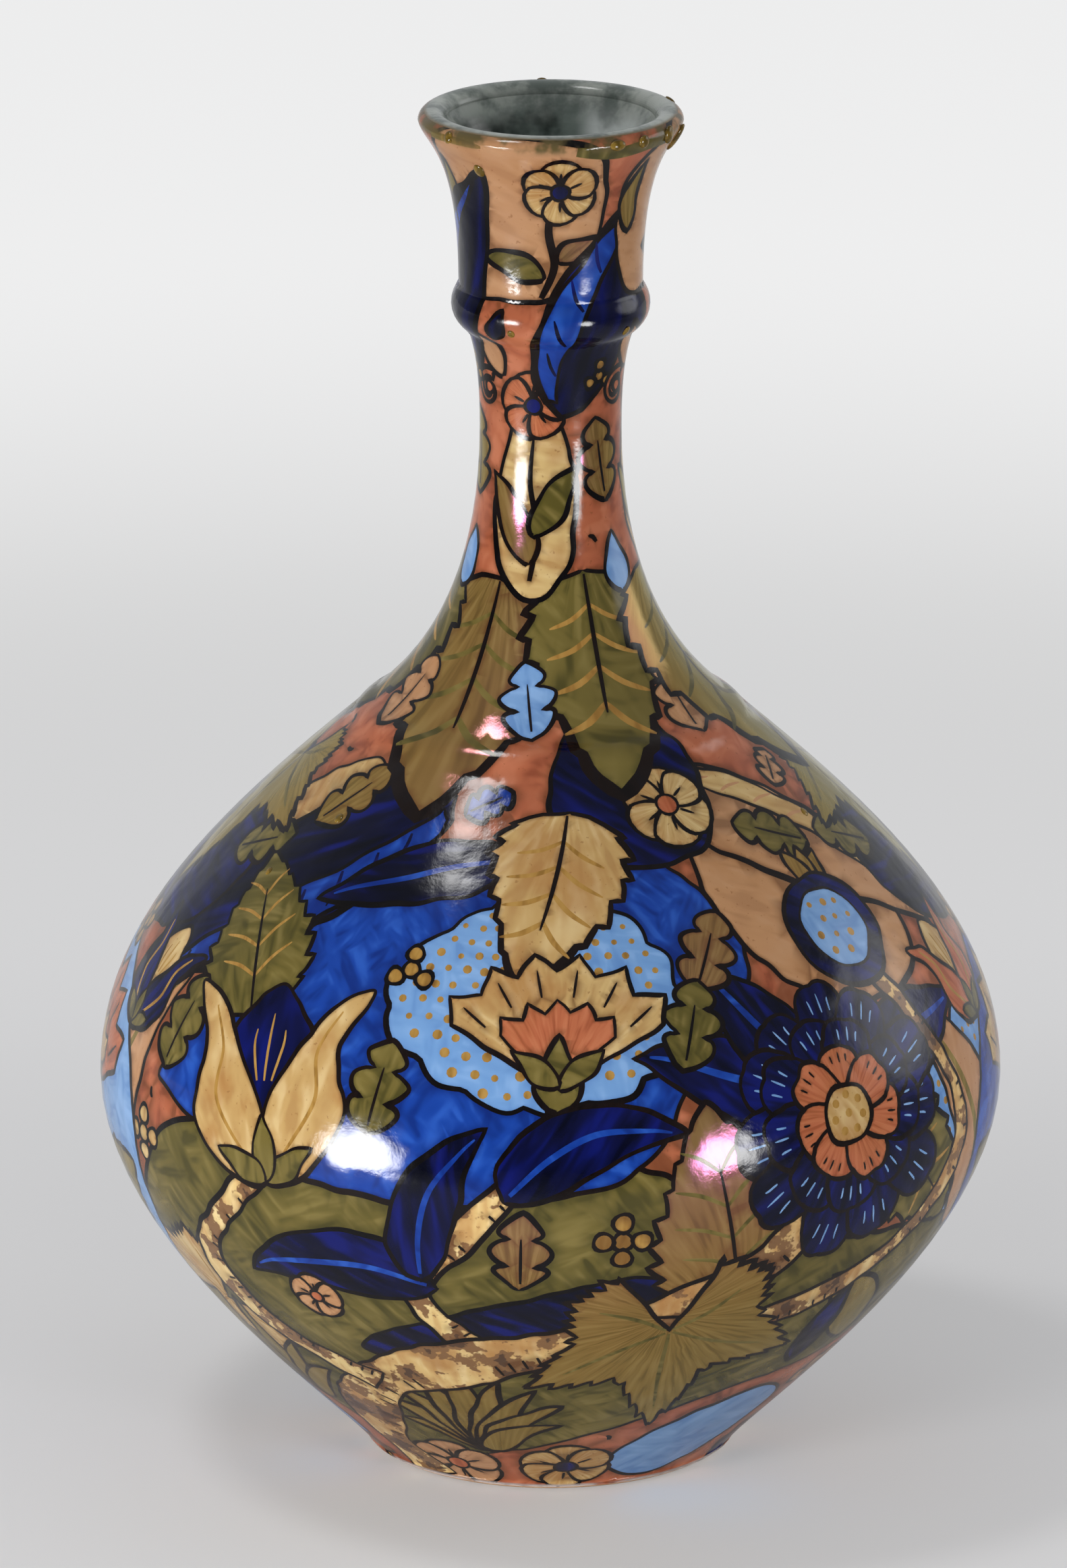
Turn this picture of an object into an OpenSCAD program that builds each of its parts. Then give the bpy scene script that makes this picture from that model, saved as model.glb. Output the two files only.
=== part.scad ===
// Faience bottle vase: a wide round body on a small foot, a slender neck with a bead ring near its
// top, and a flared mouth with a rolled lip. The body, neck and mouth are separate clay sections,
// luted with slip and coated with two glazes. Sizes are in millimetres. The vase is round about Z
// and stands on Z = 0. Diameters of the outline are those of the finished, glazed surface.

/* [Foot] */
// Diameter of the flat that the vase stands on
foot_d = 73.6; // [66:0.2:78]
// Diameter where the painted glaze begins, above the bare rounded edge
foot_edge_d = 81.6; // [80:0.2:88]
// Height of the bare rounded edge
foot_edge_h = 1.5; // [1:0.1:3]
// Height of the foot ring
foot_h = 5; // [4:0.1:8]
// Inside diameter of the foot ring
foot_bore_d = 58; // [44:0.5:62]
// Lean of the wall as it leaves the foot, in degrees from upright
foot_lean = 32; // [20:1:45]
// Share of the lower body's height over which that lean holds
foot_full = 0.13; // [0.1:0.01:0.4]

/* [Body] */
// Diameter of the girth, the widest place
belly_d = 197; // [170:1:230]
// Height of the girth above the table
belly_h = 84.5; // [75:0.5:110]
// Share of the lower body's height over which the girth stays upright
belly_full_low = 0.415; // [0.2:0.005:0.6]
// Share of the shoulder's height over which the girth stays upright
belly_full_high = 0.345; // [0.2:0.005:0.5]
// Height of the shoulder, from the girth to the root of the neck
shoulder_h = 82.5; // [70:0.5:100]
// Thickness of the floor
floor_t = 7; // [5:0.5:12]
// Height of the rounded corner between the floor and the wall, inside
floor_round = 10; // [4:0.5:20]

/* [Neck] */
// Diameter at the root of the neck
root_d = 82; // [70:1:100]
// Lean of the wall there, in degrees from upright
root_lean = 49; // [35:1:55]
// Share of the shoulder's height over which that lean holds
root_full_low = 0.57; // [0.3:0.01:0.7]
// Share of the neck's height over which that lean holds
root_full_high = 0.16; // [0.1:0.01:0.4]
// Height of the neck, from its root to its narrowest place
neck_h = 63; // [50:0.5:90]
// Diameter of the narrowest place
neck_d = 30.6; // [26:0.2:44]
// Share of the neck's height over which it stays upright below that
neck_full_low = 0.67; // [0.4:0.01:0.8]
// Share of the collar's height over which it stays upright above that
neck_full_high = 0.75; // [0.3:0.01:0.8]

/* [Mouth] */
// Height of the collar, from the narrowest place to the waist of the mouth
collar_h = 32; // [26:0.5:44]
// Diameter of the waist of the mouth
waist_d = 39.7; // [34:0.1:46]
// Share of the collar's height over which the mouth is upright below its waist
waist_full_low = 0.36; // [0.2:0.01:0.6]
// Share of the mouth's height over which it is upright above its waist
waist_full_high = 0.8; // [0.4:0.01:0.85]
// Height of the mouth, from its waist to the edge of the lip
mouth_h = 35.5; // [28:0.5:50]
// Diameter at the edge of the lip
lip_d = 57; // [50:0.5:72]
// Lean of the wall at the edge of the lip, in degrees from upright
lip_lean = 18; // [5:1:40]
// Share of the mouth's height over which that lean holds
lip_full = 0.15; // [0.1:0.01:0.3]
// Height of the rounded lip above its edge
lip_h = 2.5; // [1.5:0.1:4]
// Angle round the lip, from its outer edge, at which the painted glaze ends and the lining begins
paint_lap = 54; // [20:1:90]

/* [Ring and ridge] */
// Distance of the bead ring's middle below the waist of the mouth
ring_drop = 5.5; // [5.5:0.5:9]
// Width of the bead ring along the axis
ring_w = 10; // [6:0.5:11]
// Rise of the bead ring above the wall
ring_rise = 2; // [1:0.1:3]
// Width of the ridge round the root of the neck, along the axis
ridge_w = 4; // [3:0.5:8]
// Rise of that ridge above the wall
ridge_rise = 0.5; // [0.3:0.1:1.5]
// Depth of the grooves that the ring and the ridge are seated in
bead_seat = 0.6; // [0.4:0.1:1.2]

/* [Wall and coats] */
// Thickness of the clay wall
wall_t = 4.6; // [3.5:0.1:5.5]
// Thickness of each slip joint
slip_t = 0.6; // [0.4:0.1:1.2]
// Thickness of the painted glaze outside
glaze_t = 0.4; // [0.3:0.05:0.8]
// Thickness of the glaze that lines the inside and covers the top of the lip
lining_t = 0.4; // [0.3:0.05:0.8]

/* [Hidden] */
$fn = 128;

CLAY = "#c9a27e";
SLIP = "#b98a66";
PAINTED = "#9a6248";
LINING = "#8f9a8c";

// Points along each stretch of the outline, each bead, and the lip
curve_steps = 22;
bead_steps = 10;
lip_steps = 14;
// Smallest step between two points of a line
tiny = 0.01;

// Heights of the stations
belly_z = belly_h;
root_z = belly_z + shoulder_h;
neck_z = root_z + neck_h;
waist_z = neck_z + collar_h;
rim_z = waist_z + mouth_h;
ring_z = waist_z - ring_drop;
bowl_z = foot_h + slip_t;
floor_z = bowl_z + floor_t;

// Unit vector along a wall that leans outwards by an angle from upright
function heading(lean) = [sin(lean), cos(lean)];

// Point at t, from 0 to 1, on a cubic curve with four control points
function curve_point(c, t) =
    pow(1 - t, 3) * c[0] + 3 * pow(1 - t, 2) * t * c[1]
    + 3 * (1 - t) * pow(t, 2) * c[2] + pow(t, 3) * c[3];

// Line along a cubic curve
function curve_line(c) = [for (i = [0 : curve_steps]) curve_point(c, i / curve_steps)];

// Outline between two stations, each with its place, its lean and the share over which that holds
function stretch(a, lean_a, full_a, b, lean_b, full_b) =
    let (rise = b[1] - a[1])
    curve_line([a, a + full_a * rise * heading(lean_a), b - full_b * rise * heading(lean_b), b]);

// Two lines made one, where the second starts at the first's last point
function joined(a, b) = concat(a, [for (i = [1 : len(b) - 1]) b[i]]);

// Line with its points in the other order
function reversed(line) = [for (i = [len(line) - 1 : -1 : 0]) line[i]];

// Line moved along its own normals, away from the axis where by is positive
function moved(line, by) =
    [for (i = [0 : len(line) - 1])
        let (ahead = line[min(i + 1, len(line) - 1)] - line[max(i - 1, 0)],
             along = ahead / norm(ahead))
        line[i] + by * [along[1], -along[0]]];

// Radius of a line at a height
function radius_at(line, z) = lookup(z, [for (p = line) [p[1], p[0]]]);

// Part of a line from one height to another
function between(line, z0, z1) =
    concat([[radius_at(line, z0), z0]],
           [for (p = line) if (p[1] > z0 + tiny && p[1] < z1 - tiny) p],
           [[radius_at(line, z1), z1]]);

// Radius gained per unit of height
function lean_at(line, z) = radius_at(line, z + 0.5) - radius_at(line, z - 0.5);

// Bead on a line: it rises along the wall's normal, most in the middle and not at all at its edges
function bead(line, mid, width, rise) =
    [for (i = [0 : bead_steps])
        let (u = 2 * i / bead_steps - 1,
             z = mid + u * width / 2,
             out = [1, -lean_at(line, z)])
        [radius_at(line, z), z] + rise * (1 - u * u) * out / norm(out)];

// Part of a half round lip from an outer to an inner radius over the rim, between two angles
function lip(outer, inner, rise, start, end) =
    [for (i = [0 : lip_steps])
        let (a = start + (end - start) * i / lip_steps)
        [(outer + inner) / 2 + (outer - inner) / 2 * cos(a), rim_z + rise * sin(a)]];

// Outline of the smooth glazed wall, from the foot's edge to the rim
foot_place = [foot_edge_d / 2, foot_edge_h];
belly_place = [belly_d / 2, belly_z];
root_place = [root_d / 2, root_z];
neck_place = [neck_d / 2, neck_z];
waist_place = [waist_d / 2, waist_z];
rim_place = [lip_d / 2, rim_z];
lower_line = stretch(foot_place, foot_lean, foot_full, belly_place, 0, belly_full_low);
shoulder_line = stretch(belly_place, 0, belly_full_high, root_place, -root_lean, root_full_low);
neck_line = stretch(root_place, -root_lean, root_full_high, neck_place, 0, neck_full_low);
collar_line = stretch(neck_place, 0, neck_full_high, waist_place, 0, waist_full_low);
mouth_line = stretch(waist_place, 0, waist_full_high, rim_place, lip_lean, lip_full);
glazed = joined(joined(joined(joined(lower_line, shoulder_line), neck_line), collar_line), mouth_line);

// Clay wall: its outside, the seats of the ring and the ridge, and its inside
clay = moved(glazed, -glaze_t);
seat = moved(glazed, -glaze_t - bead_seat);
hollow = moved(glazed, -glaze_t - wall_t);
ridge_span = [root_z - ridge_w / 2, root_z + ridge_w / 2];
ring_span = [ring_z - ring_w / 2, ring_z + ring_w / 2];
ridge_bead = bead(clay, root_z, ridge_w, ridge_rise);
ring_bead = bead(clay, ring_z, ring_w, ring_rise);

// The clay's outside from foot to rim, first with the grooves cut, then with the beads laid in them
below_ridge = between(clay, foot_edge_h, ridge_span[0]);
below_ring = between(clay, ridge_span[1], ring_span[0]);
above_ring = between(clay, ring_span[1], rim_z);
grooved = concat(below_ridge, between(seat, ridge_span[0], ridge_span[1]),
                 below_ring, between(seat, ring_span[0], ring_span[1]), above_ring);
beaded = joined(joined(joined(joined(below_ridge, ridge_bead), below_ring), ring_bead), above_ring);
coated = moved(beaded, glaze_t);

// The hollow from the middle of the floor to the rim, in bare clay and then with its lining
floor_top = floor_z + floor_round;
floor_corner = [radius_at(hollow, floor_top) - floor_round * lean_at(hollow, floor_top), floor_z];
floor_curve = curve_line([floor_corner - [floor_round, 0], floor_corner, floor_corner,
                          [radius_at(hollow, floor_top), floor_top]]);
bare_inside = concat([[0, floor_z]], joined(floor_curve, between(hollow, floor_top, rim_z)));
lining = moved(bare_inside, -lining_t);
lined_inside = concat([for (p = lining) if (p[1] < rim_z - tiny) p],
                      [[radius_at(lining, rim_z), rim_z]]);

// The rounded lip, in bare clay and then with its two glazes
function bare_lip(start, end) =
    lip(radius_at(clay, rim_z), radius_at(hollow, rim_z), lip_h - lining_t, start, end);
function glazed_lip(start, end) = lip(lip_d / 2, radius_at(lining, rim_z), lip_h, start, end);
bare_outer_lip = bare_lip(0, paint_lap);
bare_inner_lip = bare_lip(paint_lap, 180);
painted_lip = glazed_lip(0, paint_lap);
lined_lip = glazed_lip(paint_lap, 180);

// Solid of revolution about the axis
module turned(points) {
    rotate_extrude() polygon(points);
}

// Ring of wall between two heights, from the grooved outside to the hollow
module wall_section(z0, z1) {
    turned(concat(between(grooved, z0, z1), reversed(between(hollow, z0, z1))));
}

// Bead in its groove
module seated_bead(line, span) {
    turned(concat(line, reversed(between(seat, span[0], span[1]))));
}

module foot_ring() {
    edge_r = radius_at(clay, foot_edge_h);
    rounded_edge = [for (i = [0 : bead_steps])
        let (a = 90 * i / bead_steps)
        [foot_d / 2 + (edge_r - foot_d / 2) * sin(a), foot_edge_h * (1 - cos(a))]];
    color(CLAY)
        turned(concat([[foot_bore_d / 2, 0]],
                      joined(rounded_edge, between(clay, foot_edge_h, foot_h)),
                      [[foot_bore_d / 2, foot_h]]));
}

module foot_slip() {
    color(SLIP)
        turned(concat([[foot_bore_d / 2, foot_h]], between(clay, foot_h, bowl_z),
                      [[foot_bore_d / 2, bowl_z]]));
}

module lower_body() {
    top = belly_z - slip_t / 2;
    inside = concat([for (p = bare_inside) if (p[1] < top - tiny) p], [[radius_at(hollow, top), top]]);
    color(CLAY)
        turned(concat([[0, bowl_z]], between(grooved, bowl_z, top), reversed(inside)));
}

module belly_slip() {
    color(SLIP) wall_section(belly_z - slip_t / 2, belly_z + slip_t / 2);
}

module upper_body() {
    color(CLAY) wall_section(belly_z + slip_t / 2, root_z - slip_t / 2);
}

module neck_slip() {
    color(SLIP) wall_section(root_z - slip_t / 2, root_z + slip_t / 2);
}

module joint_ridge() {
    color(CLAY) seated_bead(ridge_bead, ridge_span);
}

module neck() {
    color(CLAY) wall_section(root_z + slip_t / 2, ring_z - slip_t / 2);
}

module mouth_slip() {
    color(SLIP) wall_section(ring_z - slip_t / 2, ring_z + slip_t / 2);
}

module neck_ring() {
    color(CLAY) seated_bead(ring_bead, ring_span);
}

module mouth() {
    z0 = ring_z + slip_t / 2;
    color(CLAY)
        turned(joined(joined(joined(between(grooved, z0, rim_z), bare_outer_lip), bare_inner_lip),
                      reversed(between(hollow, z0, rim_z))));
}

module inner_glaze() {
    color(LINING)
        turned(concat(joined(lined_inside, reversed(lined_lip)),
                      joined(bare_inner_lip, reversed(bare_inside))));
}

module painted_glaze() {
    color(PAINTED)
        turned(concat(joined(between(coated, foot_edge_h, rim_z), painted_lip),
                      reversed(joined(between(beaded, foot_edge_h, rim_z), bare_outer_lip))));
}

foot_ring();
foot_slip();
lower_body();
belly_slip();
upper_body();
neck_slip();
joint_ridge();
neck();
mouth_slip();
neck_ring();
mouth();
inner_glaze();
painted_glaze();
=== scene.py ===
import random
from math import ceil, cos, hypot, pi, radians, sin, tau

import bmesh
import bpy
import numpy as np
from mathutils import Matrix, Vector
from mathutils.geometry import delaunay_2d_cdt


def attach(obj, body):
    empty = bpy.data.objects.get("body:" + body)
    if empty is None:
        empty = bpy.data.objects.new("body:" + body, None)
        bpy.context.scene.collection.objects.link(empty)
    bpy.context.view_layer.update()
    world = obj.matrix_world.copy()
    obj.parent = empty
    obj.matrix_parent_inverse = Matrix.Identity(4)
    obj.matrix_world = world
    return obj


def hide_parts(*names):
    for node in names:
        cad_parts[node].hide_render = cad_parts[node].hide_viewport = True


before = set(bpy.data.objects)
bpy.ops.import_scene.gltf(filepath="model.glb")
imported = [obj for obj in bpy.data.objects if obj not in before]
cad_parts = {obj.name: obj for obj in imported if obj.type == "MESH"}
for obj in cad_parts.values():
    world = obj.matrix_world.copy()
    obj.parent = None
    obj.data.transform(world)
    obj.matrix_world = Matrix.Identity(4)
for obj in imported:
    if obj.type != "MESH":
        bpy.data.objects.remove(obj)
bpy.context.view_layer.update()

# The vase is painted on its own coat: motifs are drawn flat in millimetres, wrapped round the outside
# of the CAD node painted_glaze, and cut out of it as thin enamel pieces: one for each colour, two for ink.

MM = 0.001
dice = random.Random(11)

# Sizes of the brushwork, in mm
INK = 1.1
FINE_INK = 0.7
HALO = 0.9
POINT_STEP = 1.1
STROKE_STEP = 1.2
WOBBLE_WAVES = (23.0, 14.0, 9.0)
NET_STEP = 4.0
ENAMEL_DEPTH = 0.3
DOT_PITCH = 4.3
DOT_RADIUS = 0.95
DOT_MARGIN = 1.9
SCALLOP = 1.8
SCALLOP_LENGTH = 12
# Radii at which brush strokes that fan out, and those of the bare ground, are measured across
FAN_RADIUS = 26
GROUND_RADIUS = 60
# How far outlines may pass the foot and the lip, as a wall place
OVERHANG = 0.2
# How much an ink line swells, about three times on its way round a shape
INK_SWELL = 0.4
INK_TURN = 18.8


def columns(*values):
    return np.column_stack(values)


def unit(vectors, least=1e-6):
    """Flat vectors at a length of 1, or less where they are shorter than some least length."""
    return vectors / np.maximum(np.hypot(vectors[:, 0], vectors[:, 1]), least)[:, None]


def any_phase():
    return dice.uniform(0, 6.28)


# Outside of the coat, read from the frame

def coat_outline():
    """Heights and radii in mm up the outside of the painted coat."""
    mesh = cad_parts["painted_glaze"].data
    found = {}
    for face in mesh.polygons:
        middle = face.center
        away = face.normal.x * middle.x + face.normal.y * middle.y
        if away < 0.05 * hypot(middle.x, middle.y):
            continue
        for i in face.vertices:
            co = mesh.vertices[i].co
            found[round(co.z / MM, 3)] = hypot(co.x, co.y) / MM
    heights = np.array(sorted(found))
    return heights, np.array([found[z] for z in heights])


ROW_Z, ROW_R = coat_outline()
ROW_STEP = np.hypot(np.diff(ROW_Z), np.diff(ROW_R))
# Distance up the wall, in mm, and the same in radii, which keeps motifs in shape on the curved coat
ROW_S = np.concatenate([[0.0], np.cumsum(ROW_STEP)])
ROW_Q = np.concatenate([[0.0], np.cumsum(2 * ROW_STEP / (ROW_R[1:] + ROW_R[:-1]))])
TOP_Q = ROW_Q[-1]


def outline_normals():
    dr = np.gradient(ROW_R, ROW_S)
    dz = np.gradient(ROW_Z, ROW_S)
    size = np.hypot(dr, dz)
    return dz / size, -dr / size


ROW_NR, ROW_NZ = outline_normals()


def on_coat(theta, q, depth=0.0):
    """Points and normals of the coat at angles and wall places, depth mm under its surface."""
    nr, nz, r, z = (np.interp(q, ROW_Q, row) for row in (ROW_NR, ROW_NZ, ROW_R, ROW_Z))
    r = r - depth * nr
    z = z - depth * nz
    points = columns(r * np.sin(theta), -r * np.cos(theta), z) * MM
    normals = columns(nr * np.sin(theta), -nr * np.cos(theta), nz)
    return points, normals / np.linalg.norm(normals, axis=1, keepdims=True)


def wall(degrees, z):
    """Angle and wall place of a spot given by its angle from the front and its height in mm."""
    return np.radians(degrees), np.interp(z, ROW_Z, ROW_Q)


class Place:
    """A spot on the coat where a flat motif in mm is laid, turned anticlockwise by some degrees."""

    def __init__(self, degrees, z, turn=0.0, mirror=False):
        self.theta, self.q = (float(v) for v in wall(degrees, z))
        self.scale = 1 / float(np.interp(z, ROW_Z, ROW_R))
        c, s = cos(radians(turn)), sin(radians(turn))
        self.matrix = np.array([[c, -s], [s, c]])
        self.sign = np.array([-1.0 if mirror else 1.0, 1.0])
        self.seed = dice.uniform(0, 50)
        self.tint = dice.random()

    def lay(self, points):
        flat = (np.asarray(points) @ self.matrix.T) * self.sign
        return flat * self.scale + [self.theta, self.q]

    def lift(self, spots):
        flat = (np.asarray(spots) - [self.theta, self.q]) / self.scale * self.sign
        return flat @ self.matrix


class Sector:
    """A part of the way round: spots are degrees from its middle and heights, and may be mirrored."""

    def __init__(self, middle, mirror=False):
        self.middle = middle
        self.mirror = mirror

    def spots(self, pairs):
        side = -1 if self.mirror else 1
        return np.array([(self.middle + side * a, z) for a, z in pairs], float)

    def trace(self, motif, *rows):
        """Paints a motif along spots: each row has the spots, then what else the motif takes."""
        for pairs, *rest in rows:
            motif(self.spots(pairs), *rest)

    def draw(self, motif, *rows):
        """Paints a motif at places: each row has degrees, height and turn, then what else it takes."""
        for degrees, z, turn, *rest in rows:
            motif(Place(*self.spots([(degrees, z)])[0], turn, self.mirror), *rest)


# Paint: a list of closed outlines on the coat, each one over those before it

shapes = []
halo_spots = []


def anticlockwise(points):
    x, y = points[:, 0], points[:, 1]
    area = np.sum(x * np.roll(y, -1) - y * np.roll(x, -1))
    return points[::-1] if area < 0 else points


def paint(place, points, colour, brush=("along", 0.0)):
    """Lays a flat outline on the coat; where it passes the back seam it is laid on both sides."""
    spots = anticlockwise(place.lay(points))
    for turn in (-tau, 0.0, tau):
        moved = spots + [turn, 0.0]
        if moved[:, 0].max() > -pi and moved[:, 0].min() < pi:
            shapes.append((moved, colour, place, brush, turn))


def resample(points):
    """The same closed line with closer points, its corners kept."""
    points = np.asarray(points, float)
    out = []
    for a, b in zip(points, np.roll(points, -1, axis=0)):
        n = max(1, ceil(float(np.hypot(*(b - a))) / POINT_STEP))
        out.extend(a + (b - a) * i / n for i in range(n))
    return np.array(out)


def outward(points):
    """Directions pointing out of an anticlockwise outline, at each of its points."""
    ahead = unit(np.roll(points, -1, axis=0) - points)
    both = unit(ahead + np.roll(ahead, 1, axis=0), 0.35)
    return columns(both[:, 1], -both[:, 0])


def wobble(points, amount):
    """A hand's small wavering along a closed line."""
    turns = np.linspace(0, tau, len(points), endpoint=False)
    length = max(1.0, float(np.sum(np.hypot(*(np.roll(points, -1, axis=0) - points).T))))
    moved = points.copy()
    for axis in (0, 1):
        for wave in WOBBLE_WAVES:
            count = max(2, round(length / wave))
            moved[:, axis] += amount * 0.5 * np.sin(count * turns + any_phase())
    return moved


def inked(place, points, colour, brush=("along", 0.0), ink=INK, hand=0.3):
    """A filled shape with a painted outline of uneven width."""
    line = wobble(anticlockwise(resample(points)), hand)
    waver = 1 + INK_SWELL * np.sin(np.linspace(0, INK_TURN, len(line)) + any_phase())[:, None]
    away = outward(line)
    paint(place, line + 0.5 * ink * waver * away, "ink")
    paint(place, line - 0.5 * ink * away, colour, brush)
    if np.ptp(line, axis=0).min() > 5 * HALO:
        halo_spots.append(place.lay(line - (0.5 * ink + HALO) * away))


def ribbon(path, widths):
    """Outline of a brush stroke along a path, with its width in mm at each point."""
    ahead = unit(np.gradient(path, axis=0))
    side = columns(ahead[:, 1], -ahead[:, 0]) * np.asarray(widths)[:, None] / 2
    return np.vstack([path + side, (path - side)[::-1]])


def smooth(points, closed=False, step=POINT_STEP):
    """A curve through given points, in mm."""
    p = np.asarray(points, float)
    line = np.vstack([p[-1:], p, p[:2]] if closed else [p[:1], p, p[-1:]])
    out = []
    for a, b, c, d in zip(line, line[1:], line[2:], line[3:]):
        steps = max(2, ceil(float(np.hypot(*(c - b))) / step))
        for t in np.arange(steps) / steps:
            rise = 2 * a - 5 * b + 4 * c - d + t * (3 * (b - c) + d - a)
            out.append(b + 0.5 * t * (c - a + t * rise))
    return np.array(out if closed else out + [p[-1]])


def stroke(place, path, width, colour="ink", taper=0.25):
    """A tapering brush line along a curve through some points."""
    line = smooth(path, step=STROKE_STEP)
    t = np.linspace(0, 1, len(line))
    widths = width * (taper + (1 - taper) * np.sin(pi * (0.12 + 0.86 * t)) ** 0.6)
    paint(place, ribbon(line, widths), colour)


def winding(spots, outline):
    """How many times an anticlockwise outline runs round each spot; spots are sorted by height."""
    x, y = spots[:, 0], spots[:, 1]
    turns = np.zeros(len(spots), int)
    ends = np.roll(outline, -1, axis=0)
    first = np.searchsorted(y, np.minimum(outline[:, 1], ends[:, 1]))
    last = np.searchsorted(y, np.maximum(outline[:, 1], ends[:, 1]))
    for i in np.nonzero(last > first)[0]:
        (ax, ay), (bx, by) = outline[i], ends[i]
        row = slice(first[i], last[i])
        side = (bx - ax) * (y[row] - ay) - (x[row] - ax) * (by - ay)
        turns[row] += side > 0 if by > ay else -1 * (side < 0)
    return turns


class Finder:
    """Spots on the coat, sorted by height to find quickly which of them lie inside an outline."""

    def __init__(self, spots):
        self.order = np.argsort(spots[:, 1], kind="stable")
        self.spots = spots[self.order]

    def inside(self, outline):
        low, high = outline.min(axis=0), outline.max(axis=0)
        first, last = np.searchsorted(self.spots[:, 1], (low[1], high[1]))
        x = self.spots[first:last, 0]
        near = first + np.nonzero((x >= low[0]) & (x <= high[0]))[0]
        return self.order[near[winding(self.spots[near], outline) > 0]]


# Outlines of the motifs, in mm, growing from a stalk at (0, 0) towards +y

def bend(points, degrees, length):
    """Bends a motif to the right along its length."""
    points = np.asarray(points, float)
    if abs(degrees) < 0.1:
        return points
    full = radians(degrees)
    turn = full * points[:, 1] / length
    x = length / full * (1 - np.cos(turn)) + points[:, 0] * np.cos(turn)
    y = length / full * np.sin(turn) - points[:, 0] * np.sin(turn)
    return columns(x, y)


def turned(points, degrees, at=(0.0, 0.0)):
    c, s = cos(radians(degrees)), sin(radians(degrees))
    return np.asarray(points) @ np.array([[c, s], [-s, c]]) + np.asarray(at)


def spine(length, *parts):
    """Points up the middle of a motif, at some parts of its length."""
    return [(0.0, part * length) for part in parts]


def both_sides(half):
    """A closed outline from its right half, which runs from the stalk to the tip."""
    half = np.asarray(half, float)
    left = (half * [-1, 1])[::-1]
    return np.vstack([half, left[1:]])


# Where blades and toothed leaves are widest
BLADE_LOW = 0.68
TOOTHED_LOW = 0.58


def swell(t, low=0.75):
    """Width of a leaf along its length, widest nearer the stalk for a smaller low."""
    return np.clip(np.sin(pi * t ** low), 0, 1) ** 0.85


def plain_leaf(length, width, low=0.75):
    t = np.linspace(0.0, 1.0, 25)
    return both_sides(columns(0.5 * width * swell(t, low), length * t))


def toothed_leaf(length, width, teeth):
    half = [(0.0, 0.0)]
    for k in range(teeth):
        for part, reach in ((0.05, 0.92), (0.35, 0.97), (0.65, 1.02), (0.95, 1.08)):
            t = (k + part) / teeth * 0.97 + 0.02
            half.append((0.5 * width * reach * swell(t, TOOTHED_LOW), length * t))
    half.append((0.0, length))
    return both_sides(half)


def lobed_leaf(length, width, lobes=3):
    """A leaf with round lobes parted by narrow notches, like an oak's."""
    t = np.linspace(0.0, 1.0, lobes * 14 + 1)
    shape = np.sqrt(np.clip(np.sin(pi * t ** 0.8), 0, 1))
    rim = 0.5 * width * shape * (0.42 + 0.58 * np.abs(np.sin(pi * lobes * t)) ** 0.5)
    rim[[0, -1]] = 0.0
    return both_sides(columns(rim, length * t + 0.25 * rim * (1 - t)))


def hand_leaf(length, teeth=4):
    """A leaf with five toothed lobes spread like a hand."""
    points = [(0.0, 0.0)]
    for turn, reach in ((-122, 0.52), (-62, 0.80), (0, 1.0), (62, 0.80), (122, 0.52)):
        for sign in (-1, 1):
            gap = turn + sign * 29
            edge = [(gap, 0.44 + 0.06 * reach)]
            for tooth in range(teeth):
                for part, out in ((0.15, 0.95), (0.85, 1.07)):
                    t = (tooth + part) / teeth
                    edge.append((gap + (turn - gap) * t ** 0.7, (0.46 + (reach - 0.46) * t) * out))
            points.extend(edge if sign < 0 else [(turn, reach)] + edge[::-1])
    turns = np.radians([p[0] for p in points])
    reach = length * np.array([p[1] for p in points])
    return columns(reach * np.sin(turns), reach * np.cos(turns))


def ruffled_petal(length, width, lobes):
    """A broad petal with a scalloped end."""
    t = np.linspace(0.0, 1.0, 7)
    side = columns(0.5 * width * np.sin(0.5 * pi * t) ** 0.8, 0.68 * length * t)
    turn = np.linspace(0, 0.5 * pi, 4 * lobes + 1)[1:]
    reach = 0.92 + 0.12 * np.abs(np.sin(lobes * turn))
    high = (0.68 + 0.32 * np.sin(turn) * reach) * length
    return both_sides(np.vstack([side, columns(0.5 * width * reach * np.cos(turn), high)]))


def disc(radius, count):
    turn = np.linspace(0, tau, count, endpoint=False)
    return radius * columns(np.cos(turn), np.sin(turn))


def fan(length, spread, teeth):
    """A fan-shaped blossom with a toothed edge."""
    points = [(0.0, 0.0)]
    for k in range(2 * teeth + 1):
        turn = radians(spread) * (k / teeth - 1)
        reach = length * (1.0 if k % 2 else 0.84)
        points.append((reach * sin(turn), reach * cos(turn)))
    return np.array(points)


# Painted motifs: a brush goes along an angle, or fans out from a height on the motif's axis

VEIN_COLOURS = {"khaki": "olive", "olive": "ochre", "cream": "ochre"}
# Radius of a blossom's heart as a part of the blossom's own
HEART = 0.21


def veined_leaf(place, length, width, teeth, colour, curve):
    """A toothed leaf with a rib in ink and veins in a paler or darker enamel."""
    inked(place, bend(toothed_leaf(length, width, teeth), curve, length), colour, ("fan", -0.25 * length))
    for side in (-1, 1):
        for t in (0.2, 0.36, 0.52, 0.68):
            out = float(swell(t, TOOTHED_LOW)) * width * side
            vein = [(0.0, t * length), (0.16 * out, (t + 0.08) * length), (0.34 * out, (t + 0.13) * length)]
            stroke(place, bend(vein, curve, length), FINE_INK * 1.3, VEIN_COLOURS[colour], 0.1)
    stroke(place, bend(spine(length, 0.02, 0.25, 0.5, 0.72), curve, length), FINE_INK * 1.2, taper=0.1)


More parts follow.
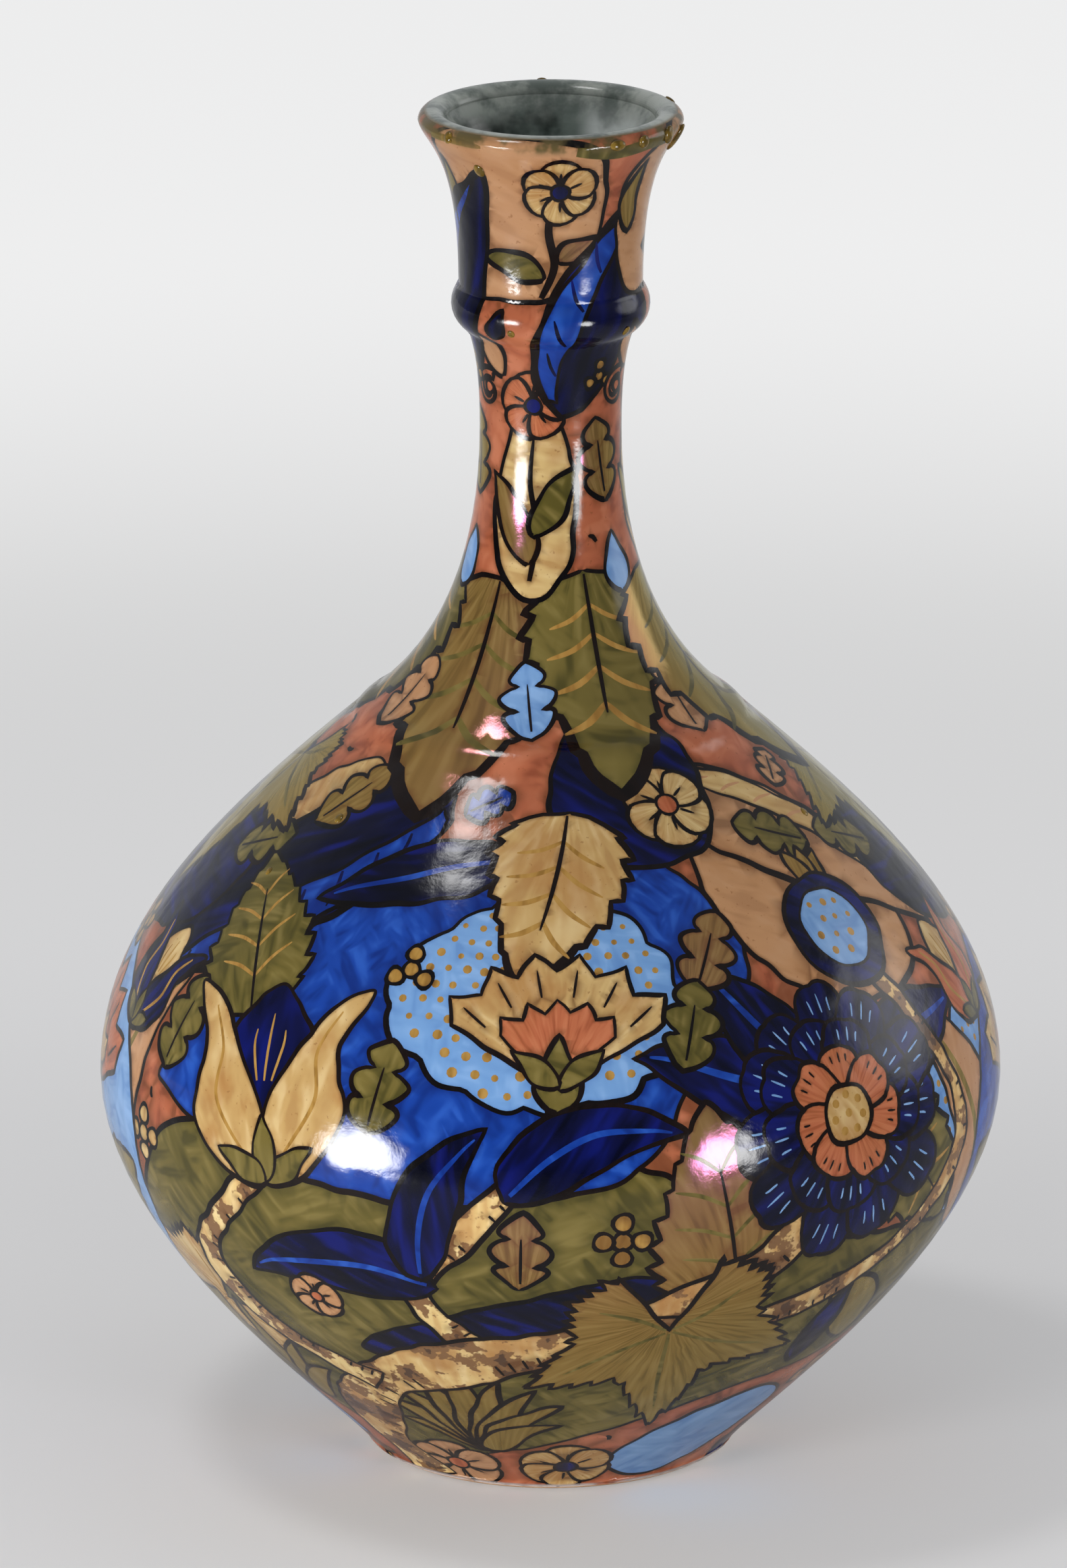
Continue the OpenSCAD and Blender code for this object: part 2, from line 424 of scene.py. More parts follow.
def leaf_spray(place, length, width, turns, colour, ink=INK, at=(0.0, 0.0)):
    """Plain leaves from one spot, at some turns."""
    for turn in turns:
        inked(place, turned(plain_leaf(length, width), turn, at), colour, ink=ink)


def spread_leaf(place, length, colour="khaki"):
    inked(place, hand_leaf(length), colour, ("fan", -0.1 * length))
    for turn, reach in ((-122, 0.38), (-62, 0.6), (0, 0.8), (62, 0.6), (122, 0.38)):
        rib = [(0.0, 0.02 * length), (0.02 * length, 0.5 * reach * length), (0.0, reach * length)]
        stroke(place, turned(rib, -turn), FINE_INK * 1.6, VEIN_COLOURS[colour], 0.1)


def sprig_leaf(place, length, width, colour):
    inked(place, lobed_leaf(length, width), colour, ("fan", -0.4 * length))
    stroke(place, spine(length, 0.1, 0.4, 0.7), FINE_INK)


def leaflet(place, length, width, curve, colour, fan_depth=20.0):
    """A small bent leaf; its brush strokes fan out from some mm under its stalk."""
    inked(place, bend(plain_leaf(length, width), curve, length), colour, ("fan", -fan_depth))


def blade(place, length, width, curve, colour="navy", rib="blue"):
    """A long smooth bent leaf with one pale line along its rib."""
    inked(place, bend(plain_leaf(length, width, BLADE_LOW), curve, length), colour)
    line = [(0.03 * width * sin(9 * t), t * length) for t in (0.05, 0.3, 0.55, 0.8, 0.92)]
    stroke(place, bend(line, curve, length), 0.09 * width, rib, 0.1)


def folded_leaf(place, length, width, curve, dark="navy", light="blue"):
    """A long bent leaf, dark on one side of its rib and lighter on the other, with fine veins."""
    inked(place, bend(plain_leaf(length, width, BLADE_LOW), curve, length), dark)
    t = np.linspace(0.05, 0.94, 30)
    edge = columns(0.7 - 0.5 * width * swell(t, BLADE_LOW), length * t)
    rib = columns(-0.17 * width * swell(t, BLADE_LOW), length * t)
    inked(place, bend(np.vstack([rib, edge[::-1]]), curve, length), light, ink=FINE_INK)
    for t in np.arange(0.16, 0.8, 7.0 / length):
        out = -0.5 * width * float(swell(t, BLADE_LOW))
        vein = [(0.42 * out, t * length), (0.62 * out, t * length + 1.6), (0.82 * out, t * length + 4.2)]
        stroke(place, bend(vein, curve, length), FINE_INK, dark, 0.2)


def small_flower(place, radius, petals, colour, heart):
    """A flat flower of a few round petals round a small heart."""
    width = 2.0 * radius * sin(pi / petals)
    for i in range(petals):
        turn = 360 * i / petals + dice.uniform(-5, 5)
        inked(place, turned(ruffled_petal(radius, width, 1), turn), colour, ("fan", 0.0), INK * 0.8, 0.1)
        stroke(place, turned(spine(radius, 0.3, 0.45, 0.62), turn), FINE_INK, taper=0.1)
    inked(place, disc(0.25 * radius, 18), heart, ink=FINE_INK, hand=0.05)


def cluster(count, reach):
    """A spot in the middle and the others evenly round it."""
    return [turned([(0.0, reach if k else 0.0)], 360 * k / (count - 1))[0] for k in range(count)]


def blossom(place, radius, rows, heart):
    """A full round blossom: rows of ruffled petals, given as reach, count and colour, round a heart."""
    for k, (reach, count, colour) in enumerate(rows):
        mark = "sky" if colour == "navy" else "ink"
        width = tau * 0.8 * reach * radius / count * 1.1
        for i in range(count):
            turn = 360 * (i + 0.5 * (k % 2)) / count + dice.uniform(-4, 4)
            length = reach * radius * dice.uniform(0.93, 1.07)
            inked(place, turned(ruffled_petal(length, width, 2), turn), colour, ("fan", 0.0), INK * 0.9)
            for side in (-0.16, 0.02, 0.18):
                rib = [(side * width, 0.74 * length), (1.1 * side * width, 0.82 * length),
                       (1.2 * side * width, 0.9 * length - abs(side) * 0.3 * length)]
                stroke(place, turned(rib, turn), FINE_INK * 0.7, mark, 0.1)
    inked(place, disc(HEART * radius, 26), heart, ("along", 30.0))
    for at in cluster(8, 0.62 * HEART * radius):
        paint(place, disc(0.15 * HEART * radius, 9) + at, "ochre")


def tulip(place, length, width, outer, middle):
    """A cup of two flaring petals with a third between them."""
    inner = both_sides([(0.0, 0.1), (0.2, 0.4), (0.3, 0.62), (0.2, 0.84), (0.0, 1.04)])
    inked(place, smooth(inner * [width, length], closed=True), middle, ("fan", -0.3 * length))
    for side in (-0.09, 0.0, 0.09):
        rib = [(side * width * 0.5, 0.5 * length), (side * width, 0.68 * length),
               (side * width, (0.86 - abs(side)) * length)]
        stroke(place, rib, FINE_INK, "ochre")
    for side in (-1, 1):
        petal = np.array([(0.0, 0.0), (0.26, 0.06), (0.46, 0.32), (0.42, 0.66), (0.60, 1.0), (0.36, 0.9),
                          (0.16, 0.62), (0.0, 0.34)]) * [side * width, length]
        inked(place, smooth(petal, closed=True), outer, ("fan", -0.4 * length))
        vein = np.array([(0.12, 0.14), (0.3, 0.4), (0.3, 0.66), (0.42, 0.88)]) * [side * width, length]
        stroke(place, vein, FINE_INK * 1.4, "ochre")
    leaf_spray(place, 0.34 * length, 0.14 * length, (-60, 0, 60), "olive", FINE_INK)


def fan_flower(place, length, spread, teeth, outer, inner):
    """A fan of toothed petals on a cup."""
    inked(place, fan(length, spread, teeth), outer, ("fan", 0.0))
    for k in range(teeth):
        turn = spread * ((2 * k + 1) / teeth - 1)
        stroke(place, turned(spine(length, 0.64, 0.74, 0.86), -turn), FINE_INK, taper=0.1)
    inked(place, fan(0.62 * length, spread * 0.8, teeth - 1), inner, ("fan", 0.0), FINE_INK * 1.2)
    inked(place, plain_leaf(0.5 * length, 0.3 * length, 0.6) - [0, 0.16 * length], "olive")
    leaf_spray(place, 0.4 * length, 0.16 * length, (-52, 52), "olive", FINE_INK * 1.2)


def dotted_fruit(place, radius, rim, middle, crown):
    """A round fruit with a dotted middle and a small crown."""
    leaf_spray(place, 0.9 * radius, 0.45 * radius, (-28, 0, 28), crown, at=(0, 0.72 * radius))
    inked(place, disc(radius, 40), rim, ("along", 60.0))
    inked(place, disc(0.7 * radius, 32), middle, ("along", 20.0), FINE_INK)
    fill_with_dots(place, disc(0.7 * radius, 32))


def berries(place, count, pitch, colour="ochre"):
    for at in cluster(count, pitch):
        inked(place, disc(0.52 * pitch, 16) + at, colour, ink=FINE_INK * 1.3, hand=0.1)


def scroll(place, radius, turns, width, colour):
    """A spiral tendril, broad at its root."""
    t = np.linspace(0, 1, int(26 * turns) + 8)
    turn = tau * turns * t
    reach = radius * (1 - 0.8 * t)
    path = columns(reach * np.cos(turn), reach * np.sin(turn))
    inked(place, ribbon(path, width * (1 - 0.5 * t)), colour, hand=0.1)
    inked(place, disc(0.7 * width, 16) + path[-1], colour, hand=0.1)


def tuft(place, length, count):
    """A tuft of curved grass blades."""
    for k in range(count):
        side = 2 * k / (count - 1) - 1
        reach = length * (1 - 0.35 * abs(side)) * dice.uniform(0.9, 1.1)
        shape = bend(plain_leaf(reach, 0.2 * length, 0.6), 60 * side, reach)
        inked(place, turned(shape, -22 * side), "khaki", ("fan", -0.3 * length), INK * 0.8)


def amid(spots):
    """A place amid some (degrees, height) spots, and the spots lifted flat there."""
    place = Place(*spots.mean(axis=0))
    return place, place.lift(columns(*wall(spots[:, 0], spots[:, 1])))


def panel(spots, colour, brush, dotted=False):
    """A patch of ground with a smooth outline through some spots, or dotted with a scalloped one."""
    place, line = amid(spots)
    outline = anticlockwise(smooth(line, closed=True))
    if dotted:
        count = max(6, round(len(outline) * POINT_STEP / SCALLOP_LENGTH))
        waves = np.abs(np.sin(np.linspace(0, pi * count, len(outline))))
        outline = outline + SCALLOP * waves[:, None] * outward(outline)
    inked(place, outline, colour, ("along", brush))
    if dotted:
        fill_with_dots(place, outline)


def fill_with_dots(place, outline):
    """Rows of ochre dots inside an outline."""
    low, high = outline.min(axis=0), outline.max(axis=0)
    inside = outline - DOT_MARGIN * outward(outline)
    for row, y in enumerate(np.arange(low[1], high[1], 0.87 * DOT_PITCH)):
        for x in np.arange(low[0] + (row % 2) * DOT_PITCH / 2, high[0], DOT_PITCH):
            at = np.array([[x + dice.uniform(-0.4, 0.4), y + dice.uniform(-0.4, 0.4)]])
            if winding(at, inside)[0] > 0:
                paint(place, disc(DOT_RADIUS * dice.uniform(0.75, 1.15), 9) + at, "ochre")


def vine(spots, width):
    """A winding stem through some spots, with small ticks on its bark."""
    place, line = amid(spots)
    line = smooth(line)
    t = np.linspace(0, 1, len(line))
    knots = 1 + 0.16 * np.sin(t * len(line) / 7.0 + dice.uniform(0, 6))
    widths = width * (1 - 0.55 * t) * knots
    inked(place, ribbon(line, widths), "mottled")
    across = outward(line)
    for i in range(4, len(line) - 8, 3):
        if widths[i] > 4.5 and dice.random() < 0.5:
            tick = [line[i] + part * widths[i] * across[i] for part in (0.15, 0.42)]
            stroke(place, tick, 0.7, taper=0.5)


# The design on the body: two main sides and two narrow ones

def main_side(sector, rows, heart, plume, cup, cup_in, fruit, fan_out, fan_in):
    trace, draw = sector.trace, sector.draw
    trace(panel,
          ([(-58, 22), (-34, 10), (-8, 14), (14, 22), (34, 30), (58, 34), (76, 48), (72, 64), (48, 68),
            (26, 76), (10, 94), (-20, 94), (-42, 96), (-60, 84), (-70, 48)], "olive", 40),
          ([(-30, 44), (-22, 52), (-4, 62), (12, 68), (20, 62), (2, 50), (-20, 42)], "navy", 60),
          ([(14, 9), (28, 3), (46, 8), (55, 20), (44, 27), (26, 21)], "sky", 70),
          ([(-82, 26), (-70, 10), (-58, 8), (-62, 20), (-70, 38)], "sky", 60),
          ([(-58, 96), (-42, 89), (-22, 85), (-4, 86), (9, 91), (15, 99), (18, 108), (28, 120), (32, 136),
            (20, 150), (0, 154), (-20, 147), (-38, 138), (-52, 122), (-60, 102)], "blue", -30),
          ([(34, 130), (48, 118), (66, 122), (70, 142), (56, 158), (38, 160), (29, 148)], "tan", 60),
          ([(-70, 124), (-54, 122), (-42, 134), (-38, 152), (-54, 163), (-74, 150)], "cream", 20),
          ([(-18, 114), (-2, 106), (15, 114), (18, 132), (2, 146), (-16, 138), (-24, 126)], "sky", 10, True),
          ([(56, 70), (68, 66), (80, 76), (82, 94), (72, 108), (60, 102), (54, 86)], "sky", 10, True))
    draw(blade, (70, 58, -8, 66, 20, -62, plume, "khaki"), (-72, 66, 10, 62, 20, 54, plume, "khaki"))
    draw(folded_leaf, (-24, 160, 126, 70, 24, -22), (26, 162, -118, 58, 20, 30, "tan", "cream"))
    trace(vine, ([(-8, 44), (-18, 62), (-9, 82), (0, 98), (1, 112)], 9))
    draw(blade, (-15, 64, 66, 50, 17, -58), (-17, 66, 8, 40, 14, 60), (-6, 86, -34, 46, 16, 74),
         (40, 98, -58, 54, 22, 30))
    draw(veined_leaf, (42, 98, -128, 52, 30, 9, "olive", 10))
    draw(blade, (38, 98, 52, 50, 20, -30), (38, 98, 22, 50, 20, -24))
    draw(veined_leaf, (26, 60, 16, 46, 34, 9, "khaki", 8))
    draw(spread_leaf, (-58, 46, 122, 38, "cream"))
    draw(veined_leaf, (-46, 116, 24, 48, 32, 9, "olive", -16))
    draw(blade, (-7, 150, 98, 42, 14, -26))
    trace(panel, ([(4, 152), (20, 148), (36, 152), (42, 166), (30, 177), (12, 176), (0, 164)], "navy", 50))
    draw(veined_leaf, (4, 158, 172, 34, 25, 8, "cream", 12))
    draw(small_flower, (29, 158, 0, 10, 6, "cream", "coral"))
    draw(tuft, (-54, 20, 14, 32, 6), (-14, 13, 4, 34, 9))
    draw(small_flower, (-26, 7, 0, 10, 6, "tan", "coral"), (4, 8, 0, 10, 6, "cream", "navy"))
    draw(leaflet, (58, 36, 24, 34, 13, -30, "khaki"), (62, 36, -34, 30, 11, 30, "khaki"),
         (46, 34, 8, 24, 9, 24, "navy"))
    trace(vine, ([(-38, -2), (-43, 14), (-32, 32), (-10, 44), (12, 53), (28, 66), (38, 84)], 21),
          ([(-31, 33), (-48, 44), (-53, 60), (-45, 76), (-38, 88)], 11),
          ([(13, 53), (32, 52), (52, 62), (64, 84), (58, 112), (53, 124)], 9))
    draw(spread_leaf, (17, 52, 186, 46))
    draw(sprig_leaf, (-24, 98, -8, 22, 14, "olive"), (-4, 65, -2, 19, 13, "khaki"))
    draw(small_flower, (-34, 57, 0, 6.5, 5, "tan", "coral"))
    draw(sprig_leaf, (22, 126, -30, 22, 14, "khaki"), (18, 112, -20, 22, 14, "olive"),
         (-60, 100, -10, 24, 15, "olive"), (60, 146, 60, 22, 13, "olive"), (-58, 150, -30, 24, 14, "khaki"))
    draw(tulip, (-38, 84, 10, 44, 46, cup, cup_in))
    draw(dotted_fruit, (52, 132, -10, 13.5, fruit, "sky", "khaki"))
    draw(fan_flower, (1, 110, 0, 33, 62, 6, fan_out, fan_in))
    draw(blossom, (41, 98, 0, 31, rows, heart))
    draw(berries, (9, 77, 0, 5, 4.2), (-63, 84, 0, 5, 4.2, "cream"), (-22, 130, 0, 4, 3.8))


def narrow_side(sector, ground, leaf, cup, fan_out, fan_in):
    trace, draw = sector.trace, sector.draw
    trace(panel,
          ([(-16, 44), (0, 38), (16, 44), (24, 70), (20, 98), (0, 116), (-20, 98), (-24, 70)], ground, 30),
          ([(-20, 128), (0, 120), (20, 128), (22, 146), (0, 158), (-22, 146)], "navy", 80))
    trace(vine, ([(-4, -2), (3, 24), (-3, 48), (2, 70), (0, 84)], 9))
    for mirror in (True, False):
        draw_half = Sector(sector.middle, mirror).draw
        draw_half(veined_leaf, (2, 22, -52, 40, 26, 8, "khaki", -14), (2, 52, -42, 38, 25, 8, leaf, 18))
        draw_half(tulip, (17, 104, -12, 26, 26, cup, "cream"))
        draw_half(sprig_leaf, (14, 140, -60, 22, 13, "olive"))
    draw(fan_flower, (0, 80, 0, 34, 66, 6, fan_out, fan_in))
    draw(spread_leaf, (0, 156, 180, 32))
    draw(berries, (0, 118, 0, 6, 4.2))


main_side(Sector(0), rows=[(1.0, 11, "navy"), (0.74, 9, "navy"), (0.48, 7, "coral")], heart="cream",
          plume="tan", cup="cream", cup_in="navy", fruit="navy", fan_out="cream", fan_in="coral")
main_side(Sector(180, True), rows=[(1.0, 11, "sky"), (0.74, 9, "cream"), (0.47, 7, "navy")], heart="coral",
          plume="cream", cup="navy", cup_in="sky", fruit="coral", fan_out="coral", fan_in="cream")
narrow_side(Sector(94), ground="blue", leaf="olive", cup="coral", fan_out="cream", fan_in="coral")
narrow_side(Sector(-90), ground="sky", leaf="khaki", cup="navy", fan_out="coral", fan_in="cream")


# Neck and mouth: one design three times round

def neck_third(sector):
    trace, draw = sector.trace, sector.draw
    draw(veined_leaf, (-26, 200, 176, 36, 27, 8, "khaki", -10), (30, 202, 184, 34, 24, 8, "olive", 12))
    draw(sprig_leaf, (2, 170, 10, 22, 15, "sky"), (62, 168, -6, 24, 16, "tan"))
    trace(panel, ([(-34, 206), (-8, 196), (18, 202), (28, 220), (14, 236), (-4, 246), (-26, 232),
                   (-38, 218)], "cream", 80))
    draw(stroke, (-6, 200, 0, [(0, 0), (1.2, 12), (-0.8, 24), (0, 36)], INK * 1.4))
    draw(leaflet, (-6, 203, 20, 25, 8, -18, "khaki"), (-4, 209, -22, 20, 7, 20, "olive"))
    draw(small_flower, (-6, 238, 0, 7.5, 5, "coral", "navy"))
    draw(inked, (58, 196, 0, plain_leaf(15, 8), "sky"))
    draw(sprig_leaf, (56, 216, 8, 20, 11, "khaki"))
    trace(panel, ([(-60, 264), (-24, 262), (16, 264), (38, 276), (34, 294), (4, 303), (-46, 303),
                   (-70, 284)], "tan", 70))
    draw(stroke, (2, 263, 0, [(0, 0), (2.8, 7), (1.6, 15), (3.2, 24)], INK * 1.6))
    draw(leaflet, (4, 267, 54, 15, 6, -40, "olive", 10.0), (12, 271, -48, 11, 5, 40, "khaki", 10.0))
    draw(small_flower, (13, 287, 0, 8, 6, "cream", "navy"))
    draw(leaflet, (-60, 276, 12, 16, 5, 30, "khaki", 10.0))
    draw(folded_leaf, (16, 236, -14, 50, 20, 20))
    draw(berries, (48, 244, 0, 4, 2.6))
    draw(scroll, (-50, 240, 60, 4.2, 1.0, 2.2, "coral"))
    draw(inked, (-30, 244, 30, plain_leaf(14, 6), "tan"))


for third in range(3):
    neck_third(Sector(120 * third - 8))
# Runs of glaze under the lip
Sector(0).draw(stroke, (42, 296.4, 0, [(-15, 0.6), (-6, -0.6), (4, 0.2), (13, -0.4)], 3.4, "olive", 0.2),
               (-48, 297.2, 0, [(-8, 0), (0, 0.4), (8, 0)], 1.8, "khaki", 0.2))


# Small flowers, leaves and berries where bare ground is left

GAP_SIZES = (3.0, 4.6, 6.2, 8.2, 10.6, 13.5)
GAP_PITCH = 3.6
GAP_HEIGHTS = (4.0, 292.0)
RING_COUNT = 10
FLOWER_MIXES = [("cream", "navy"), ("tan", "coral"), ("sky", "ochre"), ("cream", "coral")]


def clear_room(spots, radius):
    """How many of the gap sizes, in turn, are clear of paint round each spot."""
    ring = disc(1.0, RING_COUNT)
    rings = [spots[:, None, :] + ring[None] * (size / radius)[:, None, None] for size in GAP_SIZES]
    tests = np.concatenate(rings, axis=1).reshape(-1, 2)
    covered = np.zeros(len(tests), bool)
    finder = Finder(tests)
    for outline, *_ in shapes:
        covered[finder.inside(outline)] = True
    free = ~covered.reshape(len(spots), len(GAP_SIZES), RING_COUNT).any(axis=2)
    return np.cumprod(free, axis=1).sum(axis=1)


def fill_gaps():
    found = []
    z = GAP_HEIGHTS[0]
    while z < GAP_HEIGHTS[1]:
        r = float(np.interp(z, ROW_Z, ROW_R))
        count = int(tau * r / GAP_PITCH)
        for i in range(count):
            found.append((360 * i / count - 180 + dice.uniform(-1, 1), z + dice.uniform(-1, 1), r))
        z += GAP_PITCH
    degrees, heights, radius = np.array(found).T
    spots = columns(*wall(degrees, heights))
    room = clear_room(spots, radius)
    taken = []
    for i in np.argsort(-room, kind="stable"):
        if not room[i]:
            break
        size = GAP_SIZES[room[i] - 1]
        if any(radius[i] * hypot(*(spots[i] - spot)) < size + other for spot, other in taken):
            continue
        taken.append((spots[i], size))
        filler(Place(degrees[i], heights[i], dice.uniform(0, 360)), room[i], size)


def filler(place, room, size):
    """A small motif for a clear round of some size in mm."""
    pick = dice.random()
    if room >= 4 and pick < 0.4:
        small_flower(place, 0.94 * size, 5, *dice.choice(FLOWER_MIXES))
    elif room >= 3:
        leaf = lobed_leaf(1.86 * size, 1.36 * size) - [0, 0.93 * size]
        inked(place, leaf, dice.choice(["olive", "khaki", "blue", "tan", "navy"]), ("fan", -2 * size))
        stroke(place, spine(size, -0.7, 0, 0.5), FINE_INK)
    elif room == 2 and pick < 0.75:
        leaf = plain_leaf(1.8 * size, 0.9 * size) - [0, 0.9 * size]
        inked(place, leaf, dice.choice(["sky", "navy", "cream", "khaki"]), ink=INK * 0.8, hand=0.1)
    elif room == 2:
        berries(place, 4, 0.5 * size)
    elif pick < 0.4:
        stroke(place, [(-0.3 * size, -0.3 * size), (0.1 * size, 0), (0.15 * size, 0.35 * size)], INK)


fill_gaps()


# Cutting the coat into enamel pieces

GROUND = "salmon"


def coat_net():
    """A net of points on the coat, finer where it is narrow."""
    points = []
    for k, (q, r) in enumerate(zip(ROW_Q, ROW_R)):
        count = ceil(tau * r / min(NET_STEP, 0.12 * r))
        shift = 0.5 * (k % 2)
        points.extend((-pi + tau * (i + shift) / count, q) for i in range(1, count))
    return points


def on_wall(spots):
    """Which spots lie within the seam at the back, the foot and the lip."""
    return (np.abs(spots[:, 0]) < pi) & (spots[:, 1] > 0) & (spots[:, 1] < TOP_Q)


def cut_coat():
    """Triangles of the coat, and the shape that shows on each; -1 is the bare ground."""
    border = np.array([(-pi, q) for q in ROW_Q] + [(pi, q) for q in ROW_Q[::-1]])
    spots = []
    edges = []
    for outline in [shape[0] for shape in shapes] + [border]:
        first = len(spots)
        count = len(outline)
        spots.extend(columns(outline[:, 0], np.clip(outline[:, 1], -OVERHANG, TOP_Q + OVERHANG)).tolist())
        edges.extend((first + i, first + (i + 1) % count) for i in range(count))
    spots.extend(coat_net())
    loose = np.vstack(halo_spots)
    spots.extend(loose[on_wall(loose)].tolist())
    cut = delaunay_2d_cdt([Vector(p) for p in spots], edges, [], 0, 1e-6, False)
    flat = np.array([tuple(v) for v in cut[0]])
    faces = np.array([f for f in cut[2] if len(f) == 3])
    middle = flat[faces].mean(axis=1)
    a, b, c = (flat[faces[:, i]] for i in range(3))
    size = (b[:, 0] - a[:, 0]) * (c[:, 1] - a[:, 1]) - (b[:, 1] - a[:, 1]) * (c[:, 0] - a[:, 0])
    inside = on_wall(middle) & (np.abs(size) > 1e-10)
    faces, middle, size = faces[inside], middle[inside], size[inside]
    faces[size < 0] = faces[size < 0][:, ::-1]
    shown = np.full(len(faces), -1)
    finder = Finder(middle)
    for k, (outline, *_) in enumerate(shapes):
        shown[finder.inside(outline)] = k
    return flat, faces, shown


def shows(colour, shown):
    """Which triangles show a colour."""
    return np.array([colour == GROUND] + [shape[1] == colour for shape in shapes])[shown + 1]


def inked_spots(flat, faces, shown):
    """Which points of the net touch an ink line."""
    touched = np.zeros(len(flat), bool)
    touched[faces[shows("ink", shown)].ravel()] = True
    return touched


def brush_vectors(spots, shape):
    """Places across and along a shape's brush strokes in mm, with a seed, at spots on the coat."""
    if shape is None:
        up = np.interp(spots[:, 1], ROW_Q, ROW_S)
        return columns(up, spots[:, 0] * GROUND_RADIUS, np.zeros(len(spots)))
    _, _, place, (kind, value), turn = shape
    flat = place.lift(spots - [turn, 0.0])
    if kind == "along":
        c, s = cos(radians(value)), sin(radians(value))
        across = flat[:, 0] * c + flat[:, 1] * s
        along = flat[:, 1] * c - flat[:, 0] * s
    else:
        away = flat - [0.0, value]
        along = np.hypot(away[:, 0], away[:, 1])
        across = FAN_RADIUS * np.arctan2(away[:, 0], away[:, 1])
    return columns(across, along, np.full(len(flat), place.seed))


def add_attribute(mesh, name, kind, values):
    """Values for the outer points of an enamel piece, and the same for the inner ones."""
    layer = mesh.attributes.new(name, kind, "POINT")
    layer.data.foreach_set("vector" if kind == "FLOAT_VECTOR" else "value", np.tile(np.ravel(values), 2))


def enamel_piece(colour, flat, faces, shown, touched, half=None):
    """A closed thin piece of one colour, with brush places, tint and nearness to an ink line.

    It goes all the way round, or round the front or back half only.
    """
    mine = shows(colour, shown)
    name = "enamel_" + colour
    if half:
        in_front = np.abs(flat[faces][:, :, 0].mean(axis=1)) < pi / 2
        mine &= in_front == (half == "front")
        name += "_" + half
    used, tris = np.unique(faces[mine], return_inverse=True)
    tris = tris.reshape(-1, 3)
    labels = shown[mine]
    spots = flat[used]
    count = len(used)
    outer, normals = on_coat(spots[:, 0], spots[:, 1])
    inner, _ = on_coat(spots[:, 0], spots[:, 1], ENAMEL_DEPTH)
    sides = np.vstack([tris[:, [0, 1]], tris[:, [1, 2]], tris[:, [2, 0]]])
    rim = sides[~np.isin(sides[:, 0] * count + sides[:, 1], sides[:, 1] * count + sides[:, 0])]
    walls = columns(rim[:, 1], rim[:, 0], rim[:, 0] + count, rim[:, 1] + count)
    mesh = bpy.data.meshes.new(name)
    mesh.from_pydata(np.vstack([outer, inner]).tolist(), [],
                     tris.tolist() + (tris[:, ::-1] + count).tolist() + walls.tolist())
    mesh.shade_smooth()
    brush = np.zeros((count, 3))
    tint = np.full(count, 0.5)
    for k in np.unique(labels):
        members = np.unique(tris[labels == k])
        brush[members] = brush_vectors(spots[members], None if k < 0 else shapes[k])
        tint[members] = 0.5 if k < 0 else shapes[k][2].tint
    add_attribute(mesh, "brush", "FLOAT_VECTOR", brush)
    add_attribute(mesh, "tint", "FLOAT", tint)
    add_attribute(mesh, "edge", "FLOAT", touched[used].astype(float))
    a, b, d = outer[walls[:, 0]], outer[walls[:, 1]], inner[walls[:, 0]]
    across = np.cross(b - a, d - a)
    across /= np.maximum(np.linalg.norm(across, axis=1, keepdims=True), 1e-12)
    mesh.normals_split_custom_set(np.vstack([normals[tris.ravel()], -normals[tris[:, ::-1].ravel()],
                                             np.repeat(across, 4, axis=0)]).tolist())
    return add_piece(name, mesh)


def add_piece(name, data):
    piece = bpy.data.objects.new(name, data)
    bpy.context.scene.collection.objects.link(piece)
    return piece


# Materials

def linear(rgb):
    """A colour given as 0 to 255 in the shader's linear values."""
    parts = [v / 255 for v in rgb]
    return (*(c / 12.92 if c <= 0.04045 else ((c + 0.055) / 1.055) ** 2.4 for c in parts), 1.0)


def is_socket(value):
    return hasattr(value, "links")


GLAZE_IOR = 1.37


